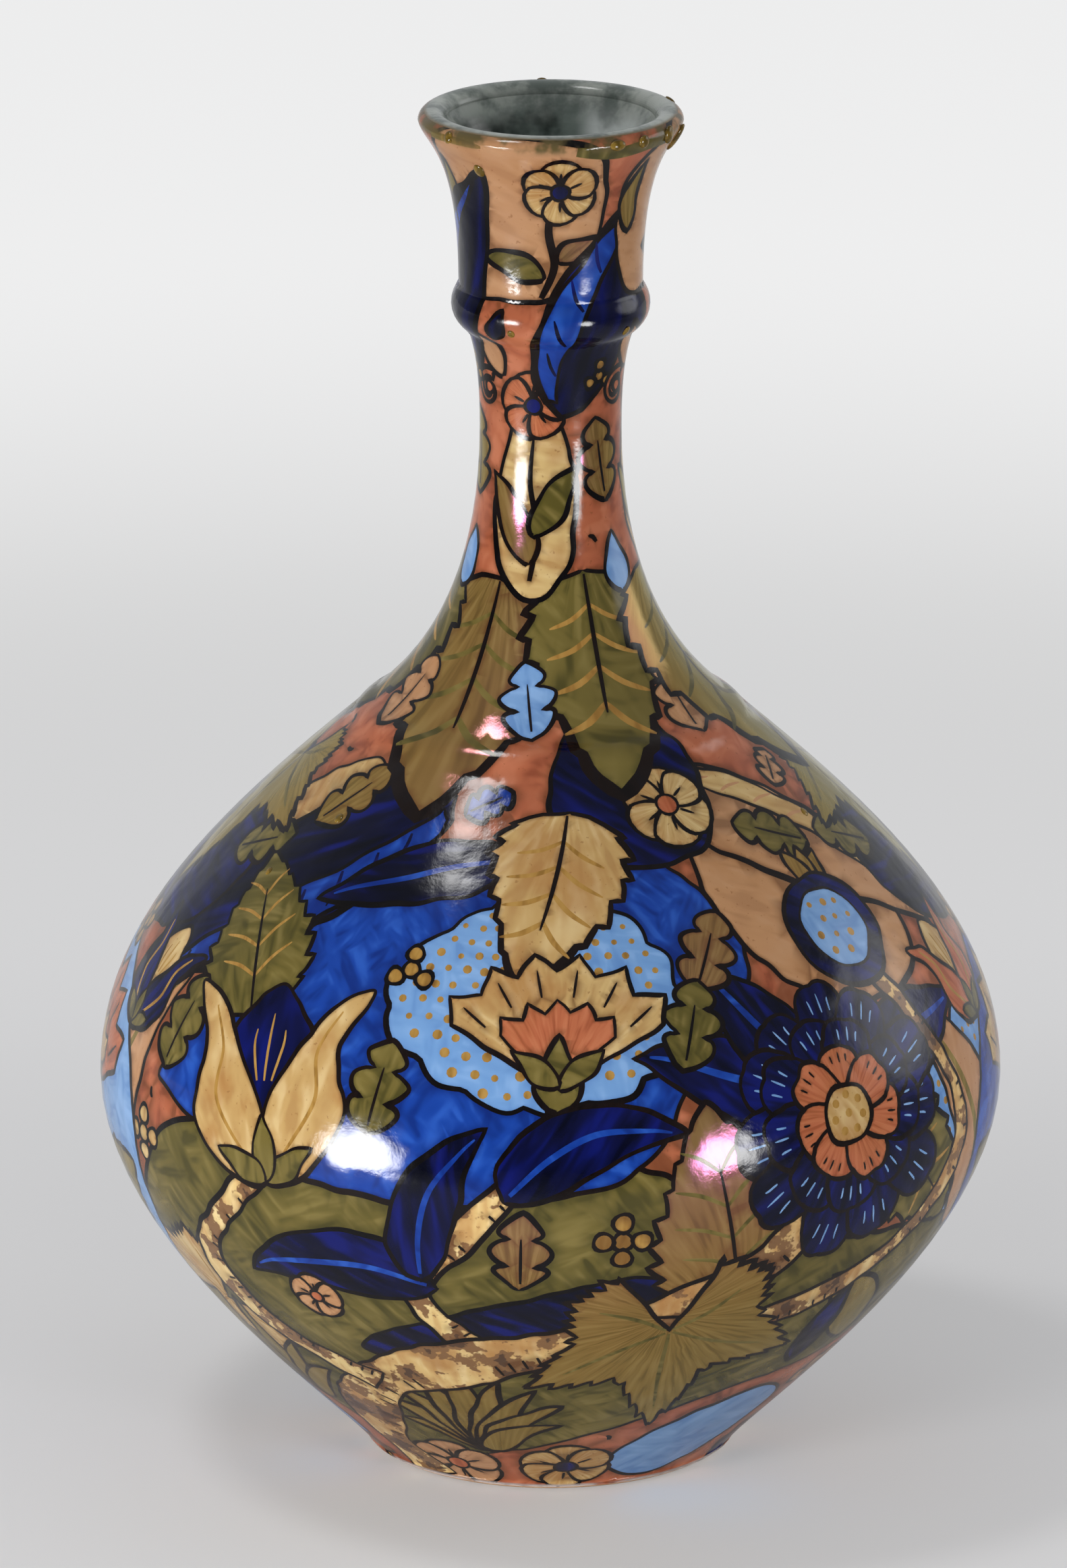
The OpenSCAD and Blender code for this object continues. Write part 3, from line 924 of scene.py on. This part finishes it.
class Nodes:
    """Short calls for building the node tree of a material, a lamp or the world."""

    def __init__(self, owner, shader="Principled BSDF"):
        self.owner = owner
        owner.use_nodes = True
        self.tree = owner.node_tree
        self.shader = self.tree.nodes[shader]

    def feed(self, node, inputs):
        """Sets a node's inputs to values, or links them to the outputs of other nodes."""
        for key, value in inputs.items():
            if is_socket(value):
                self.tree.links.new(value, node.inputs[key])
            else:
                node.inputs[key].default_value = value

    def shade(self, inputs):
        self.feed(self.shader, inputs)

    def add(self, kind, inputs, output=0, **settings):
        """Adds a node and gives one of its outputs."""
        node = self.tree.nodes.new("ShaderNode" + kind)
        for key, value in settings.items():
            setattr(node, key, value)
        self.feed(node, inputs)
        return node.outputs[output]

    def attribute(self, name, output):
        return self.add("Attribute", {}, output, attribute_name=name)

    def place(self, space="Object"):
        return self.add("TexCoord", {}, space)

    def axis(self, name, space="Object"):
        return self.add("SeparateXYZ", {0: self.place(space)}, name)

    def from_axis(self):
        x, y = self.axis("X"), self.axis("Y")
        squares = self.math("ADD", self.math("MULTIPLY", x, x), self.math("MULTIPLY", y, y))
        return self.math("SQRT", squares, 0.0)

    def noise(self, vector, scale, detail=3.0, rough=0.55, distortion=0.0):
        return self.add("TexNoise", {"Vector": vector, "Scale": scale, "Detail": detail, "Roughness": rough,
                                     "Distortion": distortion}, "Fac")

    def strokes(self, across, along, turn=0.0):
        """Streaks of some mm across and along the brush, at an angle to its main direction."""
        spots = {"Vector": self.attribute("brush", "Vector"), "Rotation": (0, 0, radians(turn)),
                 "Scale": (across, along, 1.0)}
        return self.noise(self.add("Mapping", spots, vector_type="TEXTURE"), 1.0, 1.4, 0.5, 0.35)

    def spread(self, value, low, high, to_low=0.0, to_high=1.0, curve="SMOOTHSTEP"):
        limits = {"Value": value, "From Min": low, "From Max": high, "To Min": to_low, "To Max": to_high}
        return self.add("MapRange", limits, "Result", interpolation_type=curve)

    def math(self, operation, a, b):
        return self.add("Math", {0: a, 1: b}, operation=operation)

    def mix(self, factor, a, b):
        """A mix of two colours, each another node's or given as 0 to 255."""
        a, b = (colour if is_socket(colour) else linear(colour) for colour in (a, b))
        return self.add("Mix", {0: factor, 6: a, 7: b}, 2, data_type="RGBA")

    def blend(self, factor, a, b):
        return self.add("Mix", {0: factor, 2: a, 3: b}, data_type="FLOAT")

    def tint(self, colour, other, value, low, high, most=1.0):
        """Turns a colour into another where a value goes from low to high."""
        return self.mix(self.spread(value, low, high, 0.0, most), colour, other)

    def bump(self, height, strength, distance):
        return self.add("Bump", {"Height": height, "Strength": strength, "Distance": distance}, "Normal")

    def glaze(self, ripple=0.15, rough=(0.07, 0.15)):
        """Gloss of a fired glaze: slow ripples, fine pits and slightly uneven polish."""
        place = self.place()
        pits = self.math("MULTIPLY", self.noise(place, 520.0), 0.055)
        height = self.math("ADD", self.noise(place, 60.0, 2.0), pits)
        polish = self.spread(self.noise(place, 120.0, 4.0), 0.35, 0.7, *rough)
        self.shade({"Normal": self.bump(height, ripple, 0.004), "Roughness": polish, "IOR": GLAZE_IOR})


def new_material(name):
    return Nodes(bpy.data.materials.new(name))


# Each enamel: body, thin and thick streaks, another mix of it, how strongly it streaks, and the
# size of a streak in mm across and along the brush
ENAMELS = {
    "salmon": ((158, 87, 59), (182, 112, 82), (122, 61, 40), (166, 96, 66), 0.8, (3.0, 9.0)),
    "coral": ((164, 87, 56), (184, 113, 79), (132, 65, 39), (170, 97, 65), 0.6, (1.8, 10.0)),
    "navy": ((6, 8, 32), (13, 22, 98), (3, 4, 12), (9, 13, 54), 0.8, (3.2, 16.0)),
    "blue": ((17, 50, 130), (44, 90, 180), (9, 29, 94), (21, 58, 142), 0.65, (3.2, 10.0)),
    "sky": ((104, 144, 192), (136, 170, 212), (82, 120, 174), (114, 150, 194), 0.55, (3.0, 9.0)),
    "olive": ((81, 73, 32), (122, 108, 60), (56, 53, 23), (103, 91, 45), 0.75, (2.6, 12.0)),
    "khaki": ((108, 88, 45), (134, 111, 65), (84, 65, 32), (118, 94, 50), 0.7, (1.3, 13.0)),
    "tan": ((172, 128, 92), (186, 145, 109), (150, 107, 74), (178, 133, 93), 0.45, (3.0, 9.0)),
    "cream": ((188, 160, 107), (206, 181, 133), (156, 118, 72), (178, 145, 92), 0.6, (2.4, 9.0)),
    "mottled": ((210, 183, 125), (228, 206, 153), (182, 140, 86), (202, 168, 110), 0.6, (2.4, 9.0)),
    "ochre": ((150, 114, 54), (172, 136, 74), (118, 84, 36), (156, 118, 58), 0.6, (1.4, 5.0)),
    "ink": ((9, 7, 8), (18, 14, 18), (4, 3, 4), (22, 13, 10), 0.5, (1.4, 6.0)),
}
SPECKLED = ("tan", "cream", "salmon", "mottled")
CROSSED = ("blue", "sky", "olive")
# How strongly soft brown stains show
STAINED = {"mottled": 0.7, "cream": 0.5, "tan": 0.25, "coral": 0.2}
STAIN_BROWN = (150, 98, 50)
EDGE_BROWN = (80, 46, 22)
SPECK_BROWN = (112, 66, 36)
BARK_BROWN = (122, 90, 60)
BARK_DARK = (80, 60, 46)
# The worn edge of the lip and a paler band along the bottom edge of the foot: the heights between which
# the painted wall turns to them, the scale and limits of their patches, and their colour
EDGE_BANDS = [((0.2957, 0.2978), 160.0, (0.38, 0.56), (92, 80, 50)),
              ((0.0022, 0.0015), 90.0, (0.36, 0.5), (184, 170, 164))]
# The khaki is a lustre: a film, its thickness in nanometres, that turns reflections pink
LUSTRE_NM = 326.0
LUSTRE_IOR = 1.62


def enamel_material(name):
    body, thin_glaze_and_reflection, thick, other, strength, (across, along) = ENAMELS[name]
    n = new_material("enamel " + name)
    place = n.place()
    if name == GROUND:
        streak = n.noise(place, 130.0, 2.0, 0.5, 0.8)
    else:
        streak = n.strokes(across, along)
    if name in CROSSED:
        pick = n.spread(n.noise(place, 90.0, 1.0), 0.44, 0.56)
        streak = n.blend(pick, streak, n.strokes(across, along, 70.0))
    broad = n.math("ADD", n.noise(place, 45.0, 2.0), n.math("MULTIPLY", n.attribute("tint", "Fac"), 0.4))
    colour = n.tint(body, other, broad, 0.5, 0.9)
    colour = n.tint(colour, thin_glaze_and_reflection, streak, 0.48, 0.72, strength)
    colour = n.tint(colour, thick, streak, 0.50, 0.30, strength)
    if name in STAINED:
        colour = n.tint(colour, STAIN_BROWN, n.noise(place, 75.0), 0.45, 0.68, STAINED[name])
    if name == "mottled":
        patch = n.noise(place, 105.0, 4.0, 0.6)
        colour = n.tint(colour, BARK_BROWN, patch, 0.49, 0.515)
        colour = n.tint(colour, BARK_DARK, patch, 0.585, 0.61)
    if name in SPECKLED:
        colour = n.tint(colour, SPECK_BROWN, n.noise(place, 900.0, 2.0), 0.66, 0.74, 0.45)
    if name not in ("ink", "navy"):
        near = n.math("POWER", n.attribute("edge", "Fac"), 1.6)
        colour = n.mix(n.math("MULTIPLY", near, 0.6), colour, thick if name in CROSSED else EDGE_BROWN)
    for heights, scale, limits, edge_band in EDGE_BANDS:
        patch = n.spread(n.noise(place, scale), *limits)
        colour = n.mix(n.math("MULTIPLY", n.spread(n.axis("Z"), *heights), patch), colour, edge_band)
    n.shade({"Base Color": colour})
    n.glaze()
    if name == "khaki":
        n.shade({"Thin Film Thickness": LUSTRE_NM, "Thin Film IOR": LUSTRE_IOR})
    return n.owner


def rides(piece):
    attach(piece, "root")


flat, faces, shown = cut_coat()
touched = inked_spots(flat, faces, shown)
for colour in ENAMELS:
    material = enamel_material(colour)
    # The ink has by far the most faces, so it is two pieces
    for half in ("front", "back") if colour == "ink" else (None,):
        piece = enamel_piece(colour, flat, faces, shown, touched, half)
        piece.data.materials.append(material)
        rides(piece)
        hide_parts("painted_glaze")


# Beads of glaze that ran and set on the lip, the ring and the shoulder: degrees, height, width,
# length down the wall and rise, in mm

DROPS = [(-50, 298.0, 2.4, 2.8, 0.55), (-38, 291, 2.8, 3.4, 0.5), (30, 297.8, 3.8, 2.4, 0.6),
         (44, 297.6, 2.8, 3.0, 0.65), (62, 297.4, 3.4, 4.2, 0.7), (78, 295, 3.2, 7.0, 0.8),
         (112, 299.2, 3.4, 2.2, 0.4), (184, 299.3, 2.4, 1.6, 0.6), (-140, 297, 2.6, 3.2, 0.4),
         (-24, 255, 1.8, 1.8, 0.3), (52, 254, 2.0, 2.4, 0.35), (66, 150, 2.0, 2.2, 0.3),
         (-52, 152, 2.2, 2.4, 0.3), (-60, 140, 1.8, 2.0, 0.25), (150, 240, 2.0, 3.0, 0.3)]
DROP_ROWS = 8
DROP_SIDES = 14
DROP_DARK = (88, 70, 24)
DROP_PALE = (128, 102, 42)


def glaze_drops():
    """Closed flattened beads, half sunk in the coat."""
    beads = bmesh.new()
    for degrees, z, width, length, rise in DROPS:
        theta, q = wall(degrees, z)
        (middle,), (normal,) = on_coat(np.array([theta]), np.array([q]))
        side = np.array([cos(theta), sin(theta), 0.0])
        down = np.cross(side, normal)
        axes = columns(0.5 * length * down, 0.5 * width * side, rise * normal) * MM
        matrix = Matrix.Translation(middle) @ Matrix(axes.tolist()).to_4x4()
        bmesh.ops.create_uvsphere(beads, u_segments=DROP_SIDES, v_segments=DROP_ROWS, radius=1.0,
                                  matrix=matrix)
    mesh = bpy.data.meshes.new("glaze_drops")
    beads.to_mesh(mesh)
    beads.free()
    mesh.shade_smooth()
    n = new_material("glaze drop")
    n.shade({"Base Color": n.tint(DROP_DARK, DROP_PALE, n.noise(n.place(), 500.0), 0.4, 0.6)})
    n.glaze(0.05, (0.03, 0.08))
    mesh.materials.append(n.owner)
    rides(add_piece("glaze_drops", mesh))


glaze_drops()


# Lining of the mouth, bare clay and slip on the CAD nodes

LIP_TOP = 0.2985
# Painted shade: below this height the lining has turned to its darker deep tones
SHADE_DEPTH = 0.290
LIP_EDGE_R = (0.0262, 0.0273)
LIP_BROWN = (112, 88, 46)
# Two tones at the lip, and two darker ones further in that paint the shade deep in the mouth;
# the pale tone is a painted reflection on the right side of the inner wall
LIP_TONES = ((112, 121, 115), (186, 191, 183))
DEEP_SHADE_TONES = ((20, 33, 28), (122, 134, 127))
REFLECTION_TONE = (226, 232, 229)
CLAY_GRAIN = (120, 84, 58)


def lining_material():
    n = new_material("lining glaze")
    place = n.place()
    cloud = n.noise(place, 110.0, 4.0, 0.6)
    patch = n.noise(place, 62.0, 4.0)
    # Painted reflection: a pale patchy glow on the right side of the inner wall, further in
    thin_glaze_and_reflection = n.math("MULTIPLY", n.spread(n.axis("X"), 0.005, 0.010), n.spread(patch, 0.32, 0.52, 0.3, 1.0))
    deep = n.mix(thin_glaze_and_reflection, n.tint(*DEEP_SHADE_TONES, patch, 0.40, 0.60), REFLECTION_TONE)
    # Painted shade: from the lip top down, the lining darkens to its deep tones
    colour = n.tint(n.tint(*LIP_TONES, cloud, 0.36, 0.62), deep, n.axis("Z"), LIP_TOP, SHADE_DEPTH)
    edge_band = n.math("MULTIPLY", n.spread(n.from_axis(), *LIP_EDGE_R), n.spread(cloud, 0.3, 0.55, 0.35, 1.0))
    n.shade({"Base Color": n.mix(edge_band, colour, LIP_BROWN)})
    n.glaze(0.1)
    return n.owner


def clay_material(name, pale, dark):
    n = new_material(name)
    place = n.place()
    grain = n.noise(place, 1400.0, 2.0)
    colour = n.tint(dark, pale, n.noise(place, 90.0, 5.0), 0.3, 0.7)
    colour = n.tint(colour, CLAY_GRAIN, grain, 0.62, 0.72, 0.5)
    n.shade({"Base Color": colour, "Roughness": 0.8, "Normal": n.bump(grain, 0.3, 0.0004)})
    return n.owner


def dress(node, material):
    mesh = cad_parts[node].data
    mesh.materials.clear()
    mesh.materials.append(material)


clay = clay_material("fired clay", (206, 172, 136), (178, 138, 104))
slip = clay_material("fired slip", (186, 146, 110), (160, 118, 84))
for node in ("foot_ring", "lower_body", "upper_body", "joint_ridge", "neck", "neck_ring", "mouth"):
    dress(node, clay)
for node in ("foot_slip", "belly_slip", "neck_slip", "mouth_slip"):
    dress(node, slip)
dress("inner_glaze", lining_material())


# Table, light and camera

TABLE_SIDE = 4.0
# Colours of the table near the vase and far from it, and the distances between which they change
TABLE_TONES = ((199, 198, 199), (130, 130, 130))
TABLE_FADE = (0.3, 0.7)
# From and to which distance its glow rises, and the strength at both, seen directly and in the glaze
TABLE_GLOW = (0.08, 1.07, 0.252, 0.77)
MIRROR_GLOW = (-0.1, 1.0, 0.05, 0.55)


def table():
    """A pale table top that glows, more further off, where it is seen directly or in the glaze."""
    mesh = bpy.data.meshes.new("table")
    corners = [(-1, -1), (1, -1), (1, 1), (-1, 1)]
    mesh.from_pydata([(TABLE_SIDE * x, TABLE_SIDE * y, 0) for x, y in corners], [], [(0, 1, 2, 3)])
    n = new_material("table")
    rays = n.tree.nodes.new("ShaderNodeLightPath").outputs
    mirrored = n.math("MAXIMUM", rays["Is Glossy Ray"], rays["Is Transmission Ray"])
    away = n.from_axis()
    ahead = n.math("MULTIPLY", mirrored, n.spread(n.axis("Y"), *MIRROR_GLOW))
    seen = n.math("MULTIPLY", rays["Is Camera Ray"], n.spread(away, *TABLE_GLOW))
    n.shade({"Base Color": n.tint(*TABLE_TONES, away, *TABLE_FADE), "Specular IOR Level": 0.0,
             "Emission Color": (1, 1, 1, 1), "Emission Strength": n.math("ADD", ahead, seen)})
    mesh.materials.append(n.owner)
    add_piece("table", mesh)


# Each lamp: name, place, width and height in metres, and watts
LAMPS = [("left window", (-0.62, -0.58, 0.10), (0.40, 0.32), 14.0),
         ("right window", (0.57, -0.63, 0.10), (0.31, 0.36), 7.2),
         ("overhead", (-0.40, -0.12, 1.2), (0.34, 0.34), 5.2),
         ("right wall", (1.3, 0.3, 0.5), (1.2, 1.0), 6.8)]
LAMP_AIM = (0, 0, 0.1)


def lamp(name, at, size, watts):
    """A soft lamp: brightest in its middle, fading to nothing at its edge."""
    data = bpy.data.lights.new(name, "AREA")
    data.shape = "ELLIPSE"
    data.size, data.size_y = size
    data.energy = watts
    n = Nodes(data, "Emission")
    spots = {0: n.add("NewGeometry", {}, "Parametric"), 1: (0.5, 0.5, 0.0)}
    n.shade({"Strength": n.spread(n.add("VectorMath", spots, "Value", operation="DISTANCE"), 0.5, 0.2)})
    piece = add_piece(name, data)
    piece.location = at
    piece.rotation_euler = (Vector(LAMP_AIM) - Vector(at)).to_track_quat("-Z", "Y").to_euler()
    piece.visible_camera = False


# Strength of the room's light: its least, and what it gains from one limit to another along an axis
ROOM_DIM = 0.05
ROOM_GAINS = [("Y", 0.1, 0.9, 0.45), ("X", 0.3, 1.0, 0.12), ("Z", 0.1, 0.8, 0.19)]
ROOM_COLOUR = (0.93, 0.95, 0.98, 1)


def room():
    """Light of a room that is dim behind the camera and brighter above, behind and to the right."""
    world = bpy.data.worlds.new("studio")
    bpy.context.scene.world = world
    n = Nodes(world, "Background")
    total = ROOM_DIM
    for axis, low, high, gain in ROOM_GAINS:
        ramp = n.spread(n.axis(axis, "Generated"), low, high, 0.0, gain, "LINEAR")
        total = n.math("ADD", ramp, total)
    n.shade({"Color": ROOM_COLOUR, "Strength": total})


# Camera fitted to the photo: 1582 by 2324 pixels, looking down at the vase from the front
CAMERA_AT = (-0.0037, -2.5, 0.9122)
CAMERA_DOWN = 16.98
CAMERA_LENS = 276.0
SENSOR = 36.0


def camera():
    data = bpy.data.cameras.new("camera")
    data.sensor_fit = "VERTICAL"
    data.sensor_height = SENSOR
    data.lens = CAMERA_LENS
    piece = add_piece("camera", data)
    piece.location = CAMERA_AT
    piece.rotation_euler = (radians(90 - CAMERA_DOWN), 0, 0)
    bpy.context.scene.camera = piece


table()
room()
for row in LAMPS:
    lamp(*row)
camera()
bpy.context.scene.view_settings.view_transform = "Standard"
